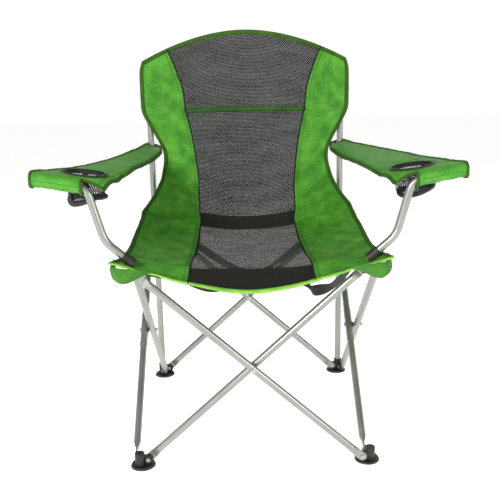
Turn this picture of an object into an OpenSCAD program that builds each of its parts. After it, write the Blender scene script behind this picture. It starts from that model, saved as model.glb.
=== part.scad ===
// Folding camp chair: four crossed tube pairs, fabric sling seat and two arms with cup holders.
// Millimetres, +Z up, the sitter faces -Y. The origin is on the floor under the middle of the chair.

/* [Frame] */
// Distance between neighbouring post centres, side to side and front to back
base_width = 500; // [410:1:605]
// Outside diameter of every tube
tube_diameter = 16; // [12:0.5:18]
// Wall of every tube
tube_wall = 1.2; // [0.8:0.1:2]
// Clear space between two tubes where they cross
crossing_gap = 4; // [3:0.1:8]
// Height of the lower pivots above the floor
lower_pivot_height = 14; // [13:0.5:30]
// Height of the upper pivots above the floor
upper_pivot_height = 432; // [360:1:520]
// Distance from a post centre to the tube pivots beside it
pivot_inset = 18; // [17:0.5:26]
// Top of the two rear uprights
upright_height = 862; // [800:1:960]

/* [Tube ends and rivets] */
// Width of a flattened tube end
flat_width = 18; // [14:0.5:22]
// Thickness of a flattened tube end
flat_thickness = 3; // [2:0.1:4]
// Length of the flat beyond its rivet
flat_length = 15; // [13:0.5:20]
// Length over which the tube goes from flat to round
flat_taper = 22; // [12:1:40]
// Rivet shank diameter
rivet_diameter = 5; // [3:0.1:6]
// Rivet head diameter
rivet_head = 9.5; // [7:0.1:12]
// Radial clearance of a rivet in its hole
rivet_clearance = 0.05; // [0.02:0.01:0.1]
// Clearance beside a flattened end
side_clearance = 0.35; // [0.3:0.05:0.6]
// Half length of the sleeve over a side tube
sleeve_half_length = 42; // [25:1:60]

/* [Feet and brackets] */
// Diameter of a foot on the floor
foot_diameter = 54; // [46:1:58]
// Thickness of a foot's flange
flange_thickness = 4; // [2.5:0.1:4.5]
// How far each foot is set in from its post, both ways
foot_inset = 6; // [2:0.5:9]
// Height of the socket on a foot
socket_height = 32; // [24:1:40]
// Wall of the sockets and sliding sleeves
socket_wall = 2.2; // [1.5:0.1:2.4]
// Radial clearance of an upright in its sliding bracket
slide_clearance = 0.08; // [0.04:0.01:0.1]
// Half height of a sliding bracket
bracket_half_height = 17; // [12:1:24]

/* [Arm posts] */
// Start of the post above the upper pivots
post_rise = 23; // [20:1:32]
// How far the post leans out at its foot, from upright
post_lean_low = 49; // [40:1:56]
// How far the post leans out in its middle
post_lean_middle = 15; // [10:1:20]
// How far the post leans out at its end
post_lean_end = 78; // [70:1:82]
// Straight length of the lower part
post_low_length = 52; // [40:1:70]
// Straight length of the middle part
post_middle_length = 76; // [60:1:100]
// Straight length of the end part
post_end_length = 90; // [70:1:105]
// Bend radius of the lower bend
post_low_radius = 60; // [40:1:80]
// Bend radius of the upper bend
post_high_radius = 30; // [24:1:45]

/* [Fabric] */
// Thickness of the woven fabric and mesh
fabric_thickness = 1.5; // [1:0.1:3]
// Space left between two sewn pieces
seam_gap = 0.6; // [0.4:0.1:1.5]
// Width of the edge tapes
binding_width = 9; // [6:0.5:14]
// Thickness of the edge tapes
binding_thickness = 2.6; // [2:0.1:4]
// Width of the webbing straps
strap_width = 25; // [18:1:30]

/* [Cup holders] */
// Inside radius of a cup holder at its rim
cup_radius = 42; // [38:1:47]
// Width of the rim tape
cup_rim_width = 7; // [4:0.5:9]
// Depth from rim to bottom
cup_depth = 52; // [40:1:60]
// Thickness of the mesh wall
cup_wall = 1.2; // [0.8:0.1:2]
// Tilt of the rim, outer side up
cup_tilt = 8; // [4:1:12]

/* [Hidden] */
$fn = 48;
half = base_width / 2;
tube_radius = tube_diameter / 2;
tube_offset = (tube_diameter + crossing_gap) / 2;
pivot_reach = half - pivot_inset;
pivot_rise = upper_pivot_height - lower_pivot_height;
bar_length = sqrt(pow(2 * pivot_reach, 2) + pow(pivot_rise, 2));
bar_lean = atan(2 * pivot_reach / pivot_rise);
crossing_height = (lower_pivot_height + upper_pivot_height) / 2;
rivet_radius = rivet_diameter / 2;
rivet_hole = rivet_radius + rivet_clearance;
head_height = 2;
lug_radius = 10;
// Walls that carry the flattened ends stand this far from the post centre line
lug_face = tube_offset - flat_thickness / 2 - side_clearance;
socket_radius = tube_radius + socket_wall;
sleeve_wall = 0.8;
washer_radius = 7;
washer_slack = 0.3;
// Floor of the upright's socket above the ground
upright_start = 6;
// The arm post starts this far before the mouth of its bracket, and its bracket socket this long
post_start = -2;
post_socket_length = 27;
post_web = 10;
// Bends are a hair thicker than the straights, which run a little way into them
bend_swell = 0.06;
bend_tuck = 1.5;
// Slack of a tube held in its socket
held_slack = 0.02;
// Reach of the fabric beyond the post centres, in front and behind
pocket_reach = 34;
arm_rear_reach = 22;
// Moves the frame so that the origin is under the middle of the whole chair
middle = (pocket_reach - arm_rear_reach) / 2;
// The fabric tables below are for a 500 mm base, and these fit them to the frame
wide = base_width / 500;
back_height = 430;
// Pivot height that the sling's table of heights is drawn for
drawn_pivot_height = 432;
// The seat keeps its shape up to this height over the pivots, and the back stretches above it
seat_rise = 80;
tall = (upright_height - upper_pivot_height - seat_rise) / (back_height - seat_rise);
// End of the arm post's upper bend, outward of the post centre and up from the floor
post_top_out = -10 + post_low_length * sin(post_lean_low)
  + post_low_radius * (cos(post_lean_middle) - cos(post_lean_low))
  + post_middle_length * sin(post_lean_middle)
  + post_high_radius * (cos(post_lean_middle) - cos(post_lean_end));
post_top_height = upper_pivot_height + post_rise + post_low_length * cos(post_lean_low)
  + post_low_radius * (sin(post_lean_low) - sin(post_lean_middle))
  + post_middle_length * cos(post_lean_middle)
  + post_high_radius * (sin(post_lean_end) - sin(post_lean_middle));
// Middle of a cup holder's rim, out from the post centre, back from it, and up from the floor
cup_out = post_top_out - 4;
cup_back = 64;
cup_height = post_top_height + 18;
ring_size = 6;

// Puts a piece drawn about the frame's middle in its place
module place(turn = 0) {
  translate([0, middle, 0])
    rotate([0, 0, 90 * turn])
      children();
}

module mirrored(side) {
  if (side > 0)
    mirror([1, 0, 0]) children();
  else
    children();
}

// ---- Tubes ----

// A cylinder along Y between two values of Y
module pin_y(radius, y0, y1) {
  translate([0, y0, 0])
    rotate([-90, 0, 0])
      cylinder(r = radius, h = y1 - y0);
}

// The flattened end of a tube, its rivet at the origin and the tube going up
module flat_end() {
  pin_y(flat_width / 2, -flat_thickness / 2, flat_thickness / 2);
  translate([-flat_width / 2, -flat_thickness / 2, 0])
    cube([flat_width, flat_thickness, flat_length]);
  intersection() {
    translate([0, 0, flat_length])
      cylinder(r1 = flat_width / 2, r2 = tube_radius, h = flat_taper);
    rotate([90, 0, 90])
      linear_extrude(height = 2 * flat_width, center = true)
        polygon([
          [-flat_thickness / 2, flat_length - 1],
          [flat_thickness / 2, flat_length - 1],
          [flat_thickness / 2, flat_length],
          [tube_radius + 1, flat_length + flat_taper],
          [-tube_radius - 1, flat_length + flat_taper],
          [-flat_thickness / 2, flat_length]
        ]);
  }
}

// One crossed tube from its lower rivet at the origin up to its upper rivet
module crossed_tube() {
  straight_start = flat_length + flat_taper;
  straight_length = bar_length - 2 * straight_start;
  difference() {
    union() {
      flat_end();
      translate([0, 0, bar_length])
        rotate([0, 180, 0])
          flat_end();
      translate([0, 0, straight_start])
        cylinder(r = tube_radius, h = straight_length);
    }
    translate([0, 0, straight_start + 1])
      cylinder(r = tube_radius - tube_wall, h = straight_length - 2);
    for (z = [0, bar_length / 2, bar_length])
      translate([0, 0, z])
        pin_y(rivet_hole, -tube_diameter, tube_diameter);
  }
}

module at_outer_tube() {
  translate([-pivot_reach, half + tube_offset, lower_pivot_height])
    rotate([0, bar_lean, 0])
      children();
}

module at_inner_tube() {
  translate([pivot_reach, half - tube_offset, lower_pivot_height])
    rotate([0, -bar_lean, 0])
      children();
}

module outer_tube(turn) {
  color("LightSlateGray")
    place(turn) at_outer_tube() crossed_tube();
}

module inner_tube(turn) {
  color("LightSlateGray")
    place(turn) at_inner_tube() crossed_tube();
}

// A short reinforcing sleeve over the middle of a tube, with a rolled ring at its lower end
module tube_sleeve() {
  ring_height = 4;
  translate([0, 0, bar_length / 2])
    difference() {
      union() {
        translate([0, 0, -sleeve_half_length])
          cylinder(r = tube_radius + sleeve_wall, h = 2 * sleeve_half_length);
        translate([0, 0, -sleeve_half_length])
          cylinder(r = tube_radius + 2 * sleeve_wall, h = ring_height);
      }
      translate([0, 0, -sleeve_half_length - 1])
        cylinder(r = tube_radius + held_slack, h = 2 * sleeve_half_length + 2);
      pin_y(rivet_hole, -tube_diameter, tube_diameter);
    }
}

module left_tube_sleeve() {
  color("SlateGray")
    place(1) at_outer_tube() tube_sleeve();
}

module right_tube_sleeve() {
  color("SlateGray")
    place(3) at_inner_tube() tube_sleeve();
}

// The rivet through a crossed pair, with a low head on each side
module cross_rivet(turn) {
  reach = tube_offset + tube_radius + 2 * sleeve_wall + 0.1;
  color("Gray")
    place(turn)
      translate([0, half, crossing_height])
        union() {
          pin_y(rivet_radius, -reach - head_height / 2, reach + head_height / 2);
          pin_y(rivet_head / 2, reach, reach + head_height);
          pin_y(rivet_head / 2, -reach - head_height, -reach);
        }
}

module cross_washer(turn) {
  thickness = crossing_gap / 2 - washer_slack - sleeve_wall;
  color("Black")
    place(turn)
      translate([0, half, crossing_height])
        difference() {
          pin_y(washer_radius, -thickness, thickness);
          pin_y(rivet_hole, -thickness - 1, thickness + 1);
        }
}

// ---- Feet and brackets ----

// A lug along +X from the corner to its rivet, between two values of Y
module lug_x(y0, y1, top) {
  translate([-half + pivot_inset, 0, top])
    pin_y(lug_radius, y0, y1);
  translate([-half, y0, top - lug_radius])
    cube([pivot_inset, y1 - y0, 2 * lug_radius]);
}

// The same lug along -Y from the corner
module lug_y(x0, x1, top) {
  mirror([1, 0, 0])
    rotate([0, 0, -90])
      lug_x(-x1, -x0, top);
}

// Two rivets: one in the lug beside the post, one in the lug at right angles to it
module corner_rivets(outer_first, height) {
  near = -0.1;
  far = tube_offset + flat_thickness / 2 + side_clearance;
  translate([-half + pivot_inset, half, height])
    mirror([0, outer_first ? 0 : 1, 0])
      lug_rivet(near, far);
  translate([-half, half - pivot_inset, height])
    rotate([0, 0, 90])
      mirror([0, outer_first ? 1 : 0, 0])
        lug_rivet(near, far);
}

module lug_rivet(near, far) {
  union() {
    pin_y(rivet_radius, near - head_height / 2, far + head_height / 2);
    pin_y(rivet_head / 2, far, far + head_height);
    pin_y(rivet_head / 2, near - head_height, near);
  }
}

module corner_holes(height) {
  translate([-half + pivot_inset, half, height])
    pin_y(rivet_hole, -2 * tube_diameter, 2 * tube_diameter);
  translate([-half, half - pivot_inset, height])
    rotate([0, 0, 90])
      pin_y(rivet_hole, -2 * tube_diameter, 2 * tube_diameter);
}

// The moulded foot of the rear left corner; the other three are this one turned
module foot(turn, holds_upright) {
  color("DarkSlateGray")
    place(turn)
      difference() {
        union() {
          translate([-half + foot_inset, half - foot_inset, 0])
            cylinder(r1 = foot_diameter / 2, r2 = foot_diameter / 2 - 2, h = flange_thickness);
          translate([-half, half, flange_thickness / 2])
            cylinder(r = socket_radius, h = socket_height - flange_thickness / 2);
          foot_lugs();
        }
        corner_holes(lower_pivot_height);
        if (holds_upright)
          translate([-half, half, upright_start])
            cylinder(r = tube_radius + held_slack, h = socket_height);
      }
}

module foot_lugs() {
  lug_x(half, half + lug_face, lower_pivot_height);
  lug_y(-half, -half + lug_face, lower_pivot_height);
  translate([-half, half, 1])
    cube([pivot_inset, lug_face, lower_pivot_height]);
  translate([-half, half - pivot_inset, 1])
    cube([lug_face, pivot_inset, lower_pivot_height]);
}

module foot_rivets(turn) {
  color("Silver")
    place(turn)
      corner_rivets(true, lower_pivot_height);
}

module bracket_lugs() {
  lug_x(half - lug_face, half, upper_pivot_height);
  lug_y(-half - lug_face, -half, upper_pivot_height);
}

// The moulded bracket that slides up its upright as the chair folds
module slide_bracket(turn) {
  color("DarkSlateGray")
    place(turn)
      difference() {
        union() {
          bracket_lugs();
          translate([-half, half, upper_pivot_height - bracket_half_height])
            cylinder(r = socket_radius, h = 2 * bracket_half_height);
        }
        corner_holes(upper_pivot_height);
        translate([-half, half, upper_pivot_height - 2 * bracket_half_height])
          cylinder(r = tube_radius + slide_clearance, h = 4 * bracket_half_height);
      }
}

module bracket_rivets(turn) {
  color("Silver")
    place(turn)
      corner_rivets(false, upper_pivot_height);
}

// The front bracket, lugs below and a slanted socket for the arm post above
module front_bracket(turn, side) {
  color("DarkSlateGray")
    difference() {
      union() {
        place(turn)
          bracket_lugs();
        place()
          mirrored(side) {
            translate([-half, -half - post_web / 2, upper_pivot_height - lug_radius])
              cube([1.2 * post_web, post_web, lug_radius + post_rise]);
            at_post_foot()
              translate([0, 0, post_start - 1])
                cylinder(r = socket_radius, h = post_socket_length);
          }
      }
      place(turn)
        corner_holes(upper_pivot_height);
      place()
        mirrored(side)
          at_post_foot()
            translate([0, 0, post_start])
              cylinder(r = tube_radius + held_slack, h = 2 * post_socket_length);
    }
}

// ---- Uprights and arm posts ----

module upright(side) {
  color("LightSlateGray")
    place()
      translate([side * half, half, upright_start])
        difference() {
          cylinder(r = tube_radius, h = upright_height - upright_start);
          translate([0, 0, -1])
            cylinder(r = tube_radius - tube_wall, h = upright_height);
        }
}

module at_post_foot() {
  translate([-half + 10, -half, upper_pivot_height + post_rise])
    rotate([0, -post_lean_low, 0])
      children();
}

// A bend that starts up +Z and turns towards +X
module bend(radius, angle, bore) {
  translate([radius, 0, 0])
    rotate([90, 0, 0])
      rotate([0, 0, 180 - angle])
        rotate_extrude(angle = angle)
          translate([radius, 0])
            circle(r = bore + bend_swell);
}

module after_bend(radius, angle) {
  translate([radius * (1 - cos(angle)), 0, radius * sin(angle)])
    rotate([0, angle, 0])
      children();
}

// The post's path filled with a round section; the straights run a little way into the bends
module post_path(bore, spare) {
  straighten = post_lean_low - post_lean_middle;
  lean_out = post_lean_end - post_lean_middle;
  translate([0, 0, post_start - spare])
    cylinder(r = bore, h = post_low_length - post_start + spare + bend_tuck);
  translate([0, 0, post_low_length]) {
    bend(post_low_radius, straighten, bore);
    after_bend(post_low_radius, straighten) {
      translate([0, 0, -bend_tuck])
        cylinder(r = bore, h = post_middle_length + 2 * bend_tuck);
      translate([0, 0, post_middle_length])
        mirror([1, 0, 0]) {
          bend(post_high_radius, lean_out, bore);
          after_bend(post_high_radius, lean_out)
            translate([0, 0, -bend_tuck])
              cylinder(r = bore, h = post_end_length + spare + bend_tuck);
        }
    }
  }
}

module arm_post(side) {
  color("LightSlateGray")
    place()
      mirrored(side)
        at_post_foot()
          difference() {
            post_path(tube_radius, 0);
            post_path(tube_radius - tube_wall, 1);
          }
}

// ---- Fabric ----

// Stations down the back and along the seat, in millimetres about the frame's middle:
// centre y, centre z, edge x, edge y, edge z, mesh edge x, how the sides curve up
flat_stations = [
  [252, 935, 261, 236, 861, 199, 1.9],
  [252, 898, 267, 235, 839, 188, 1.9],
  [253, 850, 268, 235, 803, 174, 1.9],
  [254, 800, 268, 235, 768, 162, 1.9],
  [254, 745, 266, 235, 735, 157, 1.9],
  [253, 690, 250, 236, 700, 147, 1.9],
  [250, 650, 231, 237, 666, 140, 1.9],
  [246, 611, 217, 237, 634, 135, 1.9],
  [242, 574, 215, 233, 604, 131, 1.9],
  [235, 532, 219, 212, 576, 127, 2.0],
  [226, 496, 227, 178, 551, 126, 2.1],
  [213, 454, 238, 135, 529, 125, 2.2],
  [198, 426, 250, 82, 511, 125, 2.3],
  [150, 420, 258, 30, 491, 125, 2.3],
  [85, 416, 261, -20, 479, 125, 2.3],
  [15, 415, 262, -68, 470, 126, 2.2],
  [-60, 417, 262, -120, 463, 126, 2.2],
  [-135, 422, 263, -172, 460, 128, 2.3],
  [-204, 428, 268, -224, 460, 129, 2.4],
  [-256, 388, 283, -276, 462, 131, 1.1]
];
stations = [
  for (s = flat_stations)
    [
      s[0] * wide, sling_height(s[1]), s[2] * wide, s[3] * wide, sling_height(s[4]),
      s[5] * wide, s[6]
    ]
];

// A height from the table: the seat goes with the pivots, and the back reaches the uprights
function sling_height(z) =
  let (rise = z - drawn_pivot_height)
    upper_pivot_height + min(rise, seat_rise) + max(rise - seat_rise, 0) * tall;

last_station = len(stations) - 1;
crease = 12;
// Height of the band above the crease, in stations
band_span = 1.1;

// A value of one column between stations
function column(at, which) =
  let (low = min(floor(at), last_station - 1), share = at - low)
    stations[low][which] * (1 - share) + stations[low + 1][which] * share;

// A point of the sling: down it, and x as a distance from the middle
function sling_point(at, x) =
  let (share = abs(x) / column(at, 2), curve = pow(share, column(at, 6)))
    [
      x,
      column(at, 0) + (column(at, 3) - column(at, 0)) * curve,
      column(at, 1) + (column(at, 4) - column(at, 1)) * curve
    ];

function unit(v) = v / norm(v);

// The direction out of the sling's upper side
function sling_out(at, x) =
  let (
    step = 0.3,
    a = max(at - step, 0),
    b = min(at + step, last_station),
    along = sling_point(b, x) - sling_point(a, x),
    across = sling_point(at, x + 6) - sling_point(at, x - 6)
  )
    unit(cross(along, across));

// A closed sheet through a grid of points: lower points first, then upper ones
module sheet(lower, upper) {
  rows = len(lower);
  cols = len(lower[0]);
  shift = rows * cols;
  points = concat(
    [for (r = lower) for (p = r) p],
    [for (r = upper) for (p = r) p]
  );
  low_faces = [
    for (i = [0 : rows - 2]) for (j = [0 : cols - 2])
      for (half_cell = [0, 1])
        let (k = i * cols + j)
          half_cell == 0 ? [k, k + 1, k + cols + 1] : [k, k + cols + 1, k + cols]
  ];
  up_faces = [for (f = low_faces) [f[2] + shift, f[1] + shift, f[0] + shift]];
  start_row = [for (j = [0 : cols - 1]) j];
  end_row = [for (j = [cols - 1 : -1 : 0]) (rows - 1) * cols + j];
  right_edge = [for (i = [0 : rows - 1]) i * cols + cols - 1];
  left_edge = [for (i = [rows - 1 : -1 : 0]) i * cols];
  rim = concat(start_row, [for (i = [1 : rows - 1]) right_edge[i]],
    [for (j = [1 : cols - 1]) end_row[j]], [for (i = [1 : rows - 2]) left_edge[i]]);
  rim_faces = [
    for (n = [0 : len(rim) - 1])
      let (a = rim[n], b = rim[(n + 1) % len(rim)])
        for (half_cell = [0, 1])
          half_cell == 0 ? [b, a, a + shift] : [b, a + shift, b + shift]
  ];
  polyhedron(points = points, faces = concat(low_faces, up_faces, rim_faces));
}

// A piece of the sling between two stations and two shares of the way from x_in to x_out columns
module sling_piece(from, to, rows, cols, side, inner, outer, lift = 0, thick = fabric_thickness) {
  grid = [
    for (i = [0 : rows])
      let (at = from + (to - from) * i / rows)
        [
          for (j = [0 : cols])
            let (share = inner + (outer - inner) * j / cols)
              [at, side_x(at, share, side)]
        ]
  ];
  lower = [
    for (r = grid)
      [for (g = r) sling_point(g[0], g[1]) + sling_out(g[0], g[1]) * lift]
  ];
  upper = [
    for (r = grid)
      [for (g = r) sling_point(g[0], g[1]) + sling_out(g[0], g[1]) * (lift + thick)]
  ];
  place() sheet(lower, upper);
}

// Share -1 to 1 runs across the mesh; beyond 1 it runs from the mesh edge to the outer edge
function side_x(at, share, side) =
  side == 0
    ? share * (column(at, 5) - seam_gap)
    : side * (column(at, 5) + (column(at, 2) - column(at, 5)) * share + (1 - share) * seam_gap);

module back_mesh() {
  color("DimGray")
    sling_piece(0, crease - band_span - 0.05, 18, 10, 0, -1, 1);
}

module lumbar_band() {
  color("DarkGreen")
    sling_piece(crease - band_span, crease - 0.05, 2, 10, 0, -1, 1);
}

module seat_mesh() {
  color("DimGray")
    sling_piece(crease, last_station, 12, 10, 0, -1, 1);
}

module back_panel(side) {
  color("LimeGreen")
    sling_piece(0, crease - 0.05, 20, 7, side, 0, 1);
}

// The seat's side panel, with a slot for the arm post near its front corner
module seat_panel(side) {
  slot_radius = socket_radius + 3;
  slot_steps = [3, 9, 15];
  color("LimeGreen")
    difference() {
      sling_piece(crease, last_station, 12, 7, side, 0, 1);
      place()
        mirrored(side)
          for (step = slot_steps)
            translate([step - half, -half, upper_pivot_height])
              cylinder(r = slot_radius, h = 3 * lug_radius);
    }
}

// An edge tape that covers a stretch of the sling's edge
module top_binding() {
  color("OliveDrab")
    place()
      edge_tape([for (j = [-16 : 16]) sling_point(0, j / 16 * (stations[0][2] - 2))]);
}

module front_binding() {
  front = last_station;
  color("GreenYellow")
    place()
      edge_tape([for (j = [-16 : 16]) sling_point(front, j / 16 * (stations[front][2] - 1))
        + [0, -0.5, 0]], true);
}

// A flat tape along a run of points, standing just outside the fabric's edge
module edge_tape(run, at_front = false) {
  away = at_front ? [0, -1, 0] : [0, 0, 1];
  across = at_front ? [0, 0, 1] : [0, 1, 0];
  base = [for (p = run) p + away * seam_gap];
  lower = [
    [for (p = base) p - across * binding_thickness / 2],
    [for (p = base) p + across * binding_thickness / 2]
  ];
  upper = [
    [for (p = base) p - across * binding_thickness / 2 + away * binding_width / 2],
    [for (p = base) p + across * binding_thickness / 2 + away * binding_width / 2]
  ];
  sheet(lower, upper);
}

// The pouch under a front corner: a skirt round the corner that hides the bracket.
// Rows are plan x and y from the post centre, hem and top above the pivots, and the way inward
pocket_stations = [
  [54, -18, 4, 9, 0, 1], [38, -25, -3, 12, 0.2, 1], [18, -31, -9, 16, 0.2, 1],
  [-2, -34, -12, 20, 0, 1], [-18, -31, -9, 23, 0.6, 0.8], [-29, -20, -1, 26, 0.9, 0.4],
  [-34, -2, 8, 27, 1, 0.1], [-34, 18, 18, 27, 1, 0]
];

// The pouch hangs this far below the seat's edge
pocket_drop = 7;

module corner_pocket(side) {
  levels = 4;
  bulge = 5;
  outer = [
    for (level = [0 : levels])
      [for (s = pocket_stations)
        let (in = bulge * (1 - sin(180 * level / levels)))
          [
            s[0] - half + s[4] * in,
            s[1] - half + s[5] * in,
            upper_pivot_height + s[2] + (s[3] - s[2] - pocket_drop) * level / levels
          ]]
  ];
  inner = [
    for (level = [0 : levels])
      [for (i = [0 : len(pocket_stations) - 1])
        outer[level][i] + [pocket_stations[i][4], pocket_stations[i][5], 0] * fabric_thickness]
  ];
  color("ForestGreen")
    place()
      mirrored(side)
        sheet(inner, outer);
}

// Two webbing straps that cross under the seat, from a front corner to the far rear bracket:
// x and y about the frame's middle, and depth below the upper pivots
strap_points = [
  [-196, -214, 12], [-159, -212, 18], [-120, -184, 44], [-87, -150, 66], [-44, -76, 78],
  [0, 0, 82], [44, 48, 76], [80, 86, 62], [116, 125, 41], [166, 172, 22], [208, 212, 10]
];
strap_gap = 8;

module crossed_straps() {
  color("Black")
    place()
      for (side = [-1, 1])
        let (lift = side > 0 ? strap_gap : 0)
          mirrored(side)
            sheet(strap_run(lift), strap_run(lift + fabric_thickness));
}

function strap_run(lift) = [
  for (i = [0 : len(strap_points) - 1])
    let (
      here = strap_points[i],
      before = strap_points[max(i - 1, 0)],
      after = strap_points[min(i + 1, len(strap_points) - 1)],
      along = unit([after[0] - before[0], after[1] - before[1], 0]),
      across = [-along[1], along[0], 0] * strap_width / 2,
      middle_line = [here[0] * wide, here[1] * wide, upper_pivot_height - here[2] + lift]
    )
      [middle_line + across, middle_line - across]
];

// Stations along an arm: y, then x out from the post centre and height above the post's top bend,
// for the inner edge and for the outer edge
arm_stations = [
  [272, -15, 28, 12, 39],
  [225, -15, 20, 20, 37],
  [150, -17, 14, 48, 34],
  [56, -20, 11, 86, 31],
  [-62, -2, 10, 125, 29],
  [-149, 21, 0, 151, 29],
  [-190, 29, -6, 163, 30],
  [-222, 36, -8, 174, 31],
  [-243, 40, -10, 180, 31],
  [-254, 42, -11, 182, 29],
  [-263, 43, -15, 182, 23],
  [-265, 44, -21, 182, 15]
];
// The front edge of an arm, from this station on, hangs down in front of the post
arm_hem = 10;
// How fast an arm's top rises from its inner edge: under 1 it is fullest near that edge
arm_crown = 0.5;

// Ends stay at their distance from the posts, and the rest is spread between them
function arm_y(y) =
  y < -100 ? y + 250 - half : y > 200 ? y - 250 + half : y * wide;

module arm_fabric(side) {
  cols = 10;
  upper = [
    for (s = arm_stations)
      [for (j = [0 : cols])
        let (share = j / cols, rise = pow(share, arm_crown))
          [
            -half - s[1] - (s[3] - s[1]) * share,
            arm_y(s[0]),
            post_top_height + s[2] + (s[4] - s[2]) * rise
          ]]
  ];
  lower = [
    for (i = [0 : len(upper) - 1])
      [for (p = upper[i])
        p + (i < arm_hem ? [0, 0, -fabric_thickness] : [0, fabric_thickness, -0.2])]
  ];
  cut = 4 * socket_radius;
  color("LimeGreen")
    place()
      mirrored(side)
        difference() {
          sheet(lower, upper);
          translate([-half - cup_out, -half + cup_back, cup_height - cut])
            cylinder(r = cup_radius + cup_rim_width + 1, h = 2 * cut);
          translate([-half, half, cup_height - cut])
            cylinder(r = socket_radius + 1, h = 3 * cut);
        }
}

module at_cup(side) {
  place()
    mirrored(side)
      translate([-half - cup_out, -half + cup_back, cup_height])
        rotate([0, cup_tilt, 0])
          children();
}

module cup_rim(side) {
  color("Black")
    at_cup(side)
      rotate_extrude()
        polygon([
          [cup_radius, -3], [cup_radius + 2, -3.5], [cup_radius + cup_rim_width, -1],
          [cup_radius + cup_rim_width, 0.5], [cup_radius + 3, 2], [cup_radius, 1]
        ]);
}

module cup_mesh(side) {
  low = cup_radius - 3;
  color("DimGray")
    at_cup(side)
      difference() {
        translate([0, 0, -cup_depth])
          cylinder(r1 = low, r2 = cup_radius + cup_wall - 0.2, h = cup_depth - 4);
        translate([0, 0, -cup_depth + cup_wall])
          cylinder(r1 = low - cup_wall, r2 = cup_radius - 0.2, h = cup_depth - 4);
      }
}

module cup_ring(side) {
  low = cup_radius - 3;
  color("Black")
    at_cup(side)
      translate([0, 0, -cup_depth - 1])
        rotate_extrude()
          polygon([
            [low + 0.6, -1], [low + 3, 0], [low + 3.6, ring_size / 2], [low + 3, ring_size],
            [low + 0.9, ring_size]
          ]);
}

foot(0, true);  // rear_left_foot
foot(1, false);  // front_left_foot
foot(2, false);  // front_right_foot
foot(3, true);  // rear_right_foot
foot_rivets(0);  // rear_left_foot_rivets
foot_rivets(1);  // front_left_foot_rivets
foot_rivets(2);  // front_right_foot_rivets
foot_rivets(3);  // rear_right_foot_rivets
upright(-1);  // left_upright
upright(1);  // right_upright
outer_tube(0);  // rear_outer_tube
inner_tube(0);  // rear_inner_tube
outer_tube(1);  // left_outer_tube
inner_tube(1);  // left_inner_tube
outer_tube(2);  // front_outer_tube
inner_tube(2);  // front_inner_tube
outer_tube(3);  // right_outer_tube
inner_tube(3);  // right_inner_tube
cross_rivet(0);  // rear_cross_rivet
cross_rivet(1);  // left_cross_rivet
cross_rivet(2);  // front_cross_rivet
cross_rivet(3);  // right_cross_rivet
cross_washer(0);  // rear_cross_washer
cross_washer(1);  // left_cross_washer
cross_washer(2);  // front_cross_washer
cross_washer(3);  // right_cross_washer
left_tube_sleeve();
right_tube_sleeve();
slide_bracket(0);  // rear_left_bracket
slide_bracket(3);  // rear_right_bracket
front_bracket(1, -1);  // front_left_bracket
front_bracket(2, 1);  // front_right_bracket
bracket_rivets(0);  // rear_left_bracket_rivets
bracket_rivets(3);  // rear_right_bracket_rivets
bracket_rivets(1);  // front_left_bracket_rivets
bracket_rivets(2);  // front_right_bracket_rivets
arm_post(-1);  // left_arm_post
arm_post(1);  // right_arm_post
back_mesh();
lumbar_band();
seat_mesh();
back_panel(-1);  // left_back_panel
back_panel(1);  // right_back_panel
seat_panel(-1);  // left_seat_panel
seat_panel(1);  // right_seat_panel
top_binding();
front_binding();
corner_pocket(-1);  // left_corner_pocket
corner_pocket(1);  // right_corner_pocket
crossed_straps();
arm_fabric(-1);  // left_arm_fabric
arm_fabric(1);  // right_arm_fabric
cup_rim(-1);  // left_cup_rim
cup_rim(1);  // right_cup_rim
cup_mesh(-1);  // left_cup_mesh
cup_mesh(1);  // right_cup_mesh
cup_ring(-1);  // left_cup_ring
cup_ring(1);  // right_cup_ring
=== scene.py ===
import math

import bpy
from mathutils import Matrix, Vector, noise


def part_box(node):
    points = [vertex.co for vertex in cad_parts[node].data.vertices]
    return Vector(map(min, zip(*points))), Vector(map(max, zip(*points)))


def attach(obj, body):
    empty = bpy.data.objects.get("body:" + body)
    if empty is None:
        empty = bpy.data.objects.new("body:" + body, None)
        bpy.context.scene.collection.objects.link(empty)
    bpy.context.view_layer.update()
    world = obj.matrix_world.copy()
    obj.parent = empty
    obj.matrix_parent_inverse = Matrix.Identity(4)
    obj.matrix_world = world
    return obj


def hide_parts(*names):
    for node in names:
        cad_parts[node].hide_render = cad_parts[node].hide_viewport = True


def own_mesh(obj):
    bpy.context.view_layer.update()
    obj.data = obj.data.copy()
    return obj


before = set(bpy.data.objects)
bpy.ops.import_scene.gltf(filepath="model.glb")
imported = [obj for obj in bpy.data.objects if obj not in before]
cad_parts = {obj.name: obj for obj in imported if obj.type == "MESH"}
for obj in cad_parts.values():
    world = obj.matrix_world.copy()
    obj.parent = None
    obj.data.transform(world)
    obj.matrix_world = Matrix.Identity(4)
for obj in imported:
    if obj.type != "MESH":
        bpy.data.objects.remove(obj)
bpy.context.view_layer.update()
mm = 0.001

# the frame's own measures, in millimetres: every cloth piece is laid out from these
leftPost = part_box("left_upright")
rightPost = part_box("right_upright")
half = (rightPost[0][0] + rightPost[1][0]) / 2 / mm     # post centre from the middle plane
middleY = (leftPost[0][1] + leftPost[1][1]) / 2 / mm - half     # the base is square
tubeRadius = (leftPost[1][0] - leftPost[0][0]) / 2 / mm
print("frame read: posts", round(2 * half), "mm apart")


def at(x, y, z):
    # a point given about the frame's middle, in millimetres
    return Vector((x, y + middleY, z)) * mm


# ---- camera, lights and floor ----

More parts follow.
